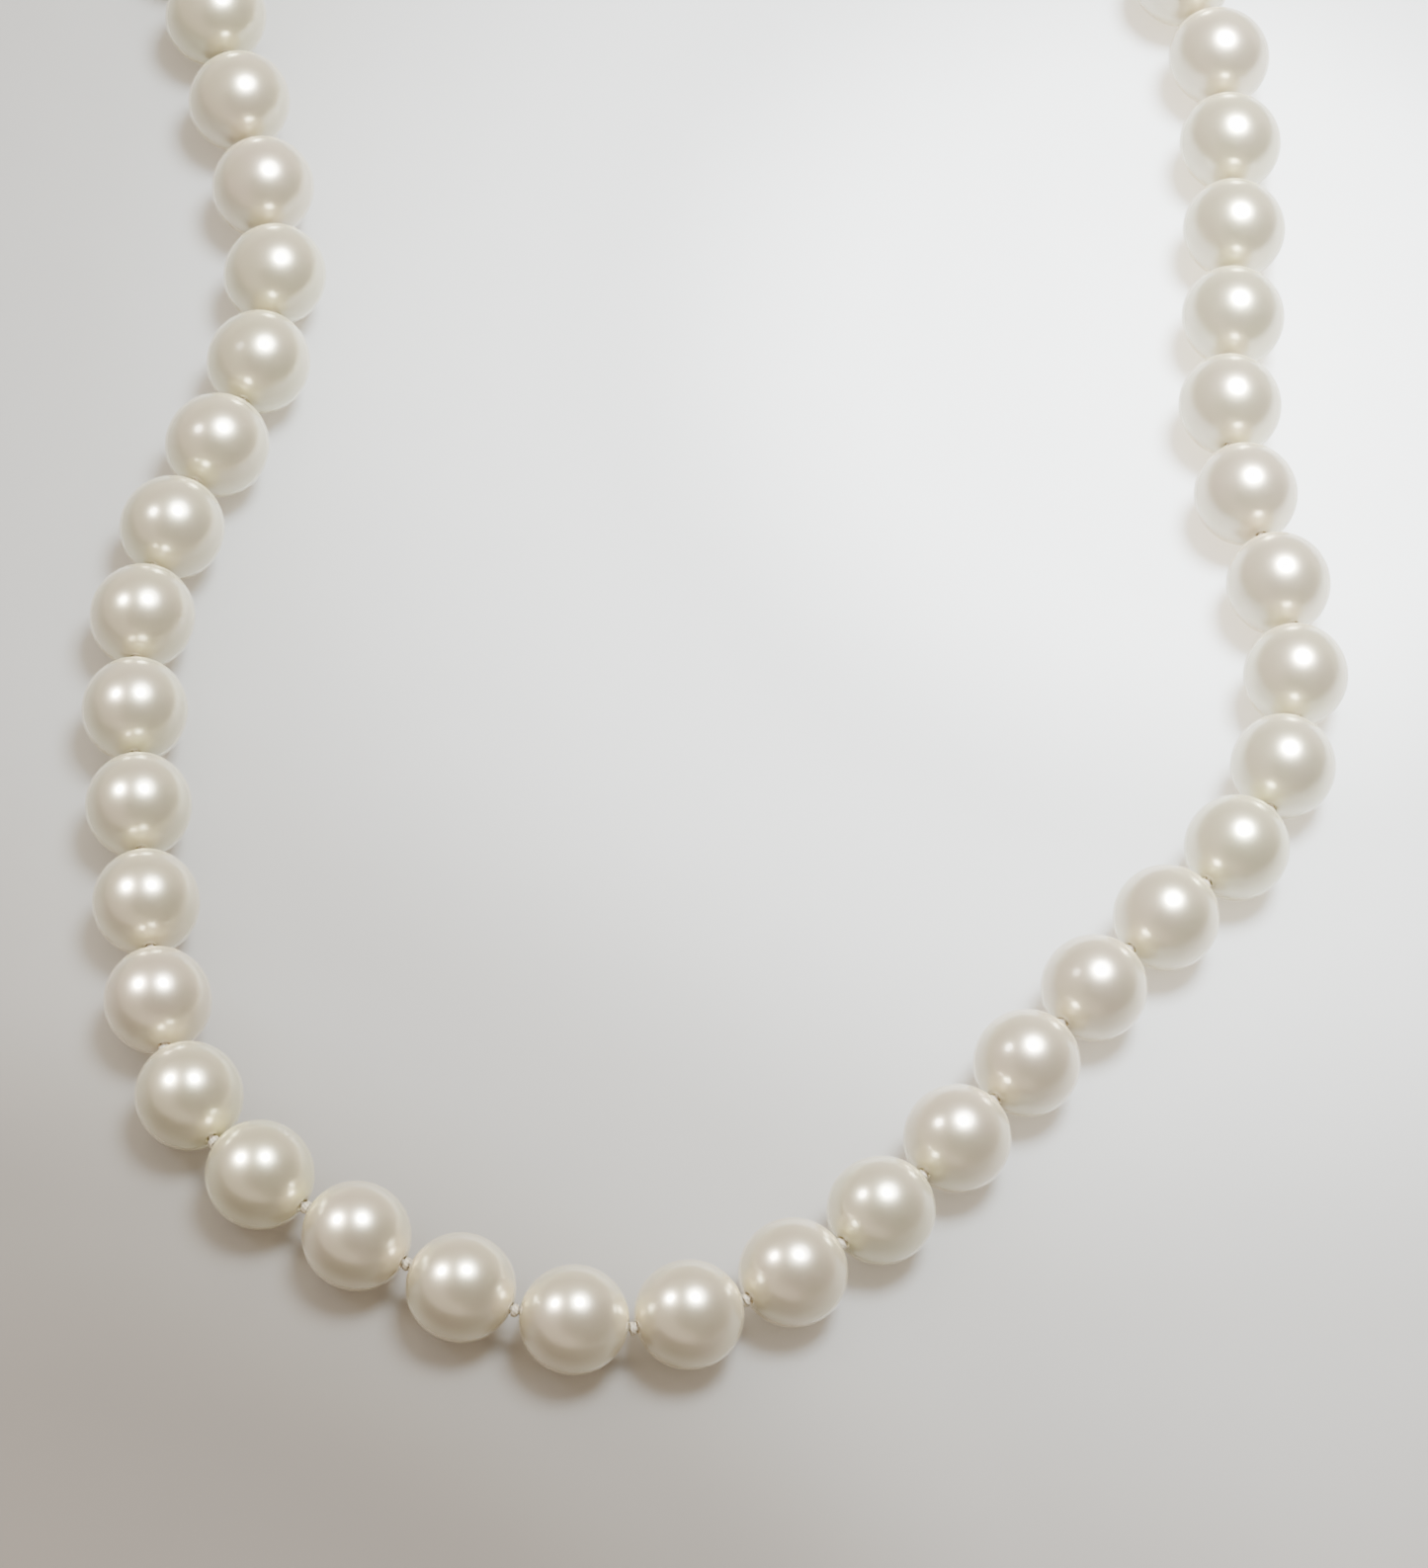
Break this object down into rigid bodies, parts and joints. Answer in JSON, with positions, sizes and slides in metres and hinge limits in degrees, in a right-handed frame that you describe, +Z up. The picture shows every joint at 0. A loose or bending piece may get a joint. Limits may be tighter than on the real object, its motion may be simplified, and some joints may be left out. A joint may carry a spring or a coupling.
{
  "type": "pearl necklace",
  "caption": "Short necklace of matched round cream pearls knotted on a silk thread, laid open in a U, with a hook clasp at one end and a ring at the other.",
  "frame": {"origin": "centre of the bottom of the bounding box, on the surface that the necklace lies on", "axes": "+Z up from that surface; the front of the necklace, the closed end of the U, is towards -Y and its two ends are towards +Y"},
  "size_m": [0.1084, 0.1896, 0.008],
  "materials": {
    "nacre": "lustrous nacre",
    "silk": "twisted silk",
    "silver": "polished silver",
    "spring_steel": "satin"
  },
  "bodies": {
    "front": {"pearl_front": "nacre", "silk_thread": "silk"},
    "left_01": {"pearl_left_01": "nacre"},
    "left_02": {"pearl_left_02": "nacre"},
    "left_03": {"pearl_left_03": "nacre"},
    "left_04": {"pearl_left_04": "nacre"},
    "left_05": {"pearl_left_05": "nacre"},
    "left_06": {"pearl_left_06": "nacre"},
    "left_07": {"pearl_left_07": "nacre"},
    "left_08": {"pearl_left_08": "nacre"},
    "left_09": {"pearl_left_09": "nacre"},
    "left_10": {"pearl_left_10": "nacre"},
    "left_11": {"pearl_left_11": "nacre"},
    "left_12": {"pearl_left_12": "nacre"},
    "left_13": {"pearl_left_13": "nacre"},
    "left_14": {"pearl_left_14": "nacre"},
    "left_15": {"pearl_left_15": "nacre"},
    "left_16": {"pearl_left_16": "nacre"},
    "left_17": {"pearl_left_17": "nacre"},
    "left_18": {"pearl_left_18": "nacre"},
    "left_19": {"pearl_left_19": "nacre"},
    "left_20": {"pearl_left_20": "nacre"},
    "left_21": {"pearl_left_21": "nacre"},
    "left_22": {"pearl_left_22": "nacre", "gimp_left": "silver"},
    "right_01": {"pearl_right_01": "nacre"},
    "right_02": {"pearl_right_02": "nacre"},
    "right_03": {"pearl_right_03": "nacre"},
    "right_04": {"pearl_right_04": "nacre"},
    "right_05": {"pearl_right_05": "nacre"},
    "right_06": {"pearl_right_06": "nacre"},
    "right_07": {"pearl_right_07": "nacre"},
    "right_08": {"pearl_right_08": "nacre"},
    "right_09": {"pearl_right_09": "nacre"},
    "right_10": {"pearl_right_10": "nacre"},
    "right_11": {"pearl_right_11": "nacre"},
    "right_12": {"pearl_right_12": "nacre"},
    "right_13": {"pearl_right_13": "nacre"},
    "right_14": {"pearl_right_14": "nacre"},
    "right_15": {"pearl_right_15": "nacre"},
    "right_16": {"pearl_right_16": "nacre"},
    "right_17": {"pearl_right_17": "nacre"},
    "right_18": {"pearl_right_18": "nacre"},
    "right_19": {"pearl_right_19": "nacre"},
    "right_20": {"pearl_right_20": "nacre"},
    "right_21": {"pearl_right_21": "nacre"},
    "right_22": {"pearl_right_22": "nacre", "gimp_right": "silver"},
    "jump_ring": {"jump_ring": "silver"},
    "clasp": {"clasp_body": "silver", "clasp_rivet": "silver", "clasp_spring": "spring_steel"},
    "lever": {"clasp_lever": "silver"},
    "catch_ring": {"catch_ring": "silver"}
  },
  "joints": [
    {"name": "bend_left_01", "type": "hinge", "parent": "front", "child": "left_01", "pos_m": [-0.0006, -0.09076, 0.004], "axis": [0, 0, 1], "range_deg": [-21, 54], "deforming": ["silk_thread"]},
    {"name": "bend_right_01", "type": "hinge", "parent": "front", "child": "right_01", "pos_m": [0.008, -0.09073, 0.004], "axis": [0, 0, -1], "range_deg": [-11, 64]},
    {"name": "bend_left_02", "type": "hinge", "parent": "left_01", "child": "left_02", "pos_m": [-0.00884, -0.08831, 0.004], "axis": [0, 0, 1], "range_deg": [-24, 44]},
    {"name": "bend_right_02", "type": "hinge", "parent": "right_01", "child": "right_02", "pos_m": [0.01571, -0.08693, 0.004], "axis": [0, 0, -1], "range_deg": [-20, 55]},
    {"name": "bend_left_03", "type": "hinge", "parent": "left_02", "child": "left_03", "pos_m": [-0.01673, -0.08489, 0.004], "axis": [0, 0, 1], "range_deg": [-24, 44]},
    {"name": "bend_right_03", "type": "hinge", "parent": "right_02", "child": "right_03", "pos_m": [0.02194, -0.081, 0.004], "axis": [0, 0, -1], "range_deg": [-26, 47]},
    {"name": "bend_left_04", "type": "hinge", "parent": "left_03", "child": "left_04", "pos_m": [-0.02419, -0.0806, 0.004], "axis": [0, 0, -1], "range_deg": [-64, 11]},
    {"name": "bend_right_04", "type": "hinge", "parent": "right_03", "child": "right_04", "pos_m": [0.0271, -0.07412, 0.004], "axis": [0, 0, 1], "range_deg": [-43, 27]},
    {"name": "lift_left_05", "type": "hinge", "parent": "left_04", "child": "left_05", "pos_m": [-0.02895, -0.07344, 0.004], "axis": [0.9072, 0.4207, 0], "range_deg": [0, 33]},
    {"name": "lift_right_05", "type": "hinge", "parent": "right_04", "child": "right_05", "pos_m": [0.03155, -0.06676, 0.004], "axis": [0.8638, -0.5038, 0], "range_deg": [0, 36]},
    {"name": "bend_left_06", "type": "hinge", "parent": "left_05", "child": "left_06", "pos_m": [-0.03134, -0.06518, 0.004], "axis": [0, 0, -1], "range_deg": [-40, 27]},
    {"name": "bend_right_06", "type": "hinge", "parent": "right_05", "child": "right_06", "pos_m": [0.03577, -0.05926, 0.004], "axis": [0, 0, 1], "range_deg": [-37, 31]},
    {"name": "bend_left_07", "type": "hinge", "parent": "left_06", "child": "left_07", "pos_m": [-0.03341, -0.05683, 0.004], "axis": [0, 0, 1], "range_deg": [-28, 39]},
    {"name": "bend_right_07", "type": "hinge", "parent": "right_06", "child": "right_07", "pos_m": [0.04004, -0.0518, 0.004], "axis": [0, 0, -1], "range_deg": [-33, 31]},
    {"name": "bend_left_08", "type": "hinge", "parent": "left_07", "child": "left_08", "pos_m": [-0.03522, -0.04843, 0.004], "axis": [0, 0, 1], "range_deg": [-30, 39]},
    {"name": "bend_right_08", "type": "hinge", "parent": "right_07", "child": "right_08", "pos_m": [0.04512, -0.04486, 0.004], "axis": [0, 0, -1], "range_deg": [-30, 45]},
    {"name": "lift_left_09", "type": "hinge", "parent": "left_08", "child": "left_09", "pos_m": [-0.03676, -0.03997, 0.004], "axis": [0.9954, 0.0961, 0], "range_deg": [0, 35]},
    {"name": "lift_right_09", "type": "hinge", "parent": "right_08", "child": "right_09", "pos_m": [0.04929, -0.03734, 0.004], "axis": [0.9461, -0.3239, 0], "range_deg": [0, 32]},
    {"name": "bend_left_10", "type": "hinge", "parent": "left_09", "child": "left_10", "pos_m": [-0.03687, -0.03137, 0.004], "axis": [0, 0, -1], "range_deg": [-51, 24]},
    {"name": "bend_right_10", "type": "hinge", "parent": "right_09", "child": "right_10", "pos_m": [0.0506, -0.02884, 0.004], "axis": [0, 0, 1], "range_deg": [-53, 22]},
    {"name": "bend_left_11", "type": "hinge", "parent": "left_10", "child": "left_11", "pos_m": [-0.03499, -0.02297, 0.004], "axis": [0, 0, -1], "range_deg": [-41, 34]},
    {"name": "bend_right_11", "type": "hinge", "parent": "right_10", "child": "right_11", "pos_m": [0.04962, -0.0203, 0.004], "axis": [0, 0, 1], "range_deg": [-53, 22]},
    {"name": "bend_left_12", "type": "hinge", "parent": "left_11", "child": "left_12", "pos_m": [-0.03257, -0.01472, 0.004], "axis": [0, 0, -1], "range_deg": [-30, 40]},
    {"name": "bend_right_12", "type": "hinge", "parent": "right_11", "child": "right_12", "pos_m": [0.04638, -0.01233, 0.004], "axis": [0, 0, 1], "range_deg": [-38, 37]},
    {"name": "jump_ring_swing", "type": "hinge", "parent": "left_22", "child": "jump_ring", "pos_m": [-0.0492, 0.0797, 0.00293], "axis": [0.9984, 0.0559, 0], "range_deg": [0, 60]},
    {"name": "clasp_swing", "type": "hinge", "parent": "jump_ring", "child": "clasp", "pos_m": [-0.04936, 0.08257, 0], "axis": [0, 0, 1], "range_deg": [-50, 50]},
    {"name": "clasp_lever_press", "type": "hinge", "parent": "clasp", "child": "lever", "pos_m": [-0.0503, 0.08692, 0], "axis": [0, 0, -1], "range_deg": [0, 15], "deforming": ["clasp_spring"]},
    {"name": "catch_ring_swing", "type": "hinge", "parent": "right_22", "child": "catch_ring", "pos_m": [0.03315, 0.08084, 0.00293], "axis": [0.984, -0.1784, 0], "range_deg": [0, 50]},
    {"name": "lift_left_13", "type": "hinge", "parent": "left_12", "child": "left_13", "pos_m": [-0.03127, -0.00622, 0.004], "axis": [1, 0.0063, 0], "range_deg": [0, 33]},
    {"name": "lift_right_13", "type": "hinge", "parent": "right_12", "child": "right_13", "pos_m": [0.04304, -0.0044, 0.004], "axis": [0.9706, 0.2406, 0], "range_deg": [0, 33]},
    {"name": "bend_left_14", "type": "hinge", "parent": "left_13", "child": "left_14", "pos_m": [-0.03268, 0.00226, 0.004], "axis": [0, 0, 1], "range_deg": [-47, 26]},
    {"name": "bend_right_14", "type": "hinge", "parent": "right_13", "child": "right_14", "pos_m": [0.0423, 0.00416, 0.004], "axis": [0, 0, -1], "range_deg": [-40, 35]},
    {"name": "bend_left_15", "type": "hinge", "parent": "left_14", "child": "left_15", "pos_m": [-0.03572, 0.01031, 0.004], "axis": [0, 0, 1], "range_deg": [-39, 36]},
    {"name": "bend_right_15", "type": "hinge", "parent": "right_14", "child": "right_15", "pos_m": [0.04187, 0.01275, 0.004], "axis": [0, 0, -1], "range_deg": [-33, 42]},
    {"name": "bend_left_16", "type": "hinge", "parent": "left_15", "child": "left_16", "pos_m": [-0.03895, 0.01828, 0.004], "axis": [0, 0, -1], "range_deg": [-39, 36]},
    {"name": "bend_right_16", "type": "hinge", "parent": "right_15", "child": "right_16", "pos_m": [0.04077, 0.02128, 0.004], "axis": [0, 0, 1], "range_deg": [-38, 37]},
    {"name": "lift_left_17", "type": "hinge", "parent": "left_16", "child": "left_17", "pos_m": [-0.042, 0.02632, 0.004], "axis": [0.9346, 0.3557, 0], "range_deg": [0, 36]},
    {"name": "lift_right_17", "type": "hinge", "parent": "right_16", "child": "right_17", "pos_m": [0.03957, 0.0298, 0.004], "axis": [0.9795, 0.2014, 0], "range_deg": [0, 35]},
    {"name": "bend_left_18", "type": "hinge", "parent": "left_17", "child": "left_18", "pos_m": [-0.04507, 0.03435, 0.004], "axis": [0, 0, -1], "range_deg": [-45, 30]},
    {"name": "bend_right_18", "type": "hinge", "parent": "right_17", "child": "right_18", "pos_m": [0.03732, 0.0381, 0.004], "axis": [0, 0, 1], "range_deg": [-60, 15]},
    {"name": "bend_left_19", "type": "hinge", "parent": "left_18", "child": "left_19", "pos_m": [-0.04703, 0.04273, 0.004], "axis": [0, 0, 1], "range_deg": [-30, 45]},
    {"name": "bend_right_19", "type": "hinge", "parent": "right_18", "child": "right_19", "pos_m": [0.03202, 0.04487, 0.004], "axis": [0, 0, -1], "range_deg": [-52, 23]},
    {"name": "bend_left_20", "type": "hinge", "parent": "left_19", "child": "left_20", "pos_m": [-0.04788, 0.05128, 0.004], "axis": [0, 0, 1], "range_deg": [-34, 41]},
    {"name": "bend_right_20", "type": "hinge", "parent": "right_19", "child": "right_20", "pos_m": [0.02865, 0.05279, 0.004], "axis": [0, 0, -1], "range_deg": [-65, 10]},
    {"name": "bend_left_21", "type": "hinge", "parent": "left_20", "child": "left_21", "pos_m": [-0.04827, 0.05988, 0.004], "axis": [0, 0, 1], "range_deg": [-37, 38]},
    {"name": "bend_right_21", "type": "hinge", "parent": "right_20", "child": "right_21", "pos_m": [0.02934, 0.06136, 0.004], "axis": [0, 0, -1], "range_deg": [-45, 30]},
    {"name": "bend_left_22", "type": "hinge", "parent": "left_21", "child": "left_22", "pos_m": [-0.04857, 0.06847, 0.004], "axis": [0, 0, -1], "range_deg": [-36, 39]},
    {"name": "bend_right_22", "type": "hinge", "parent": "right_21", "child": "right_22", "pos_m": [0.03114, 0.06977, 0.004], "axis": [0, 0, 1], "range_deg": [-39, 36]}
  ]
}
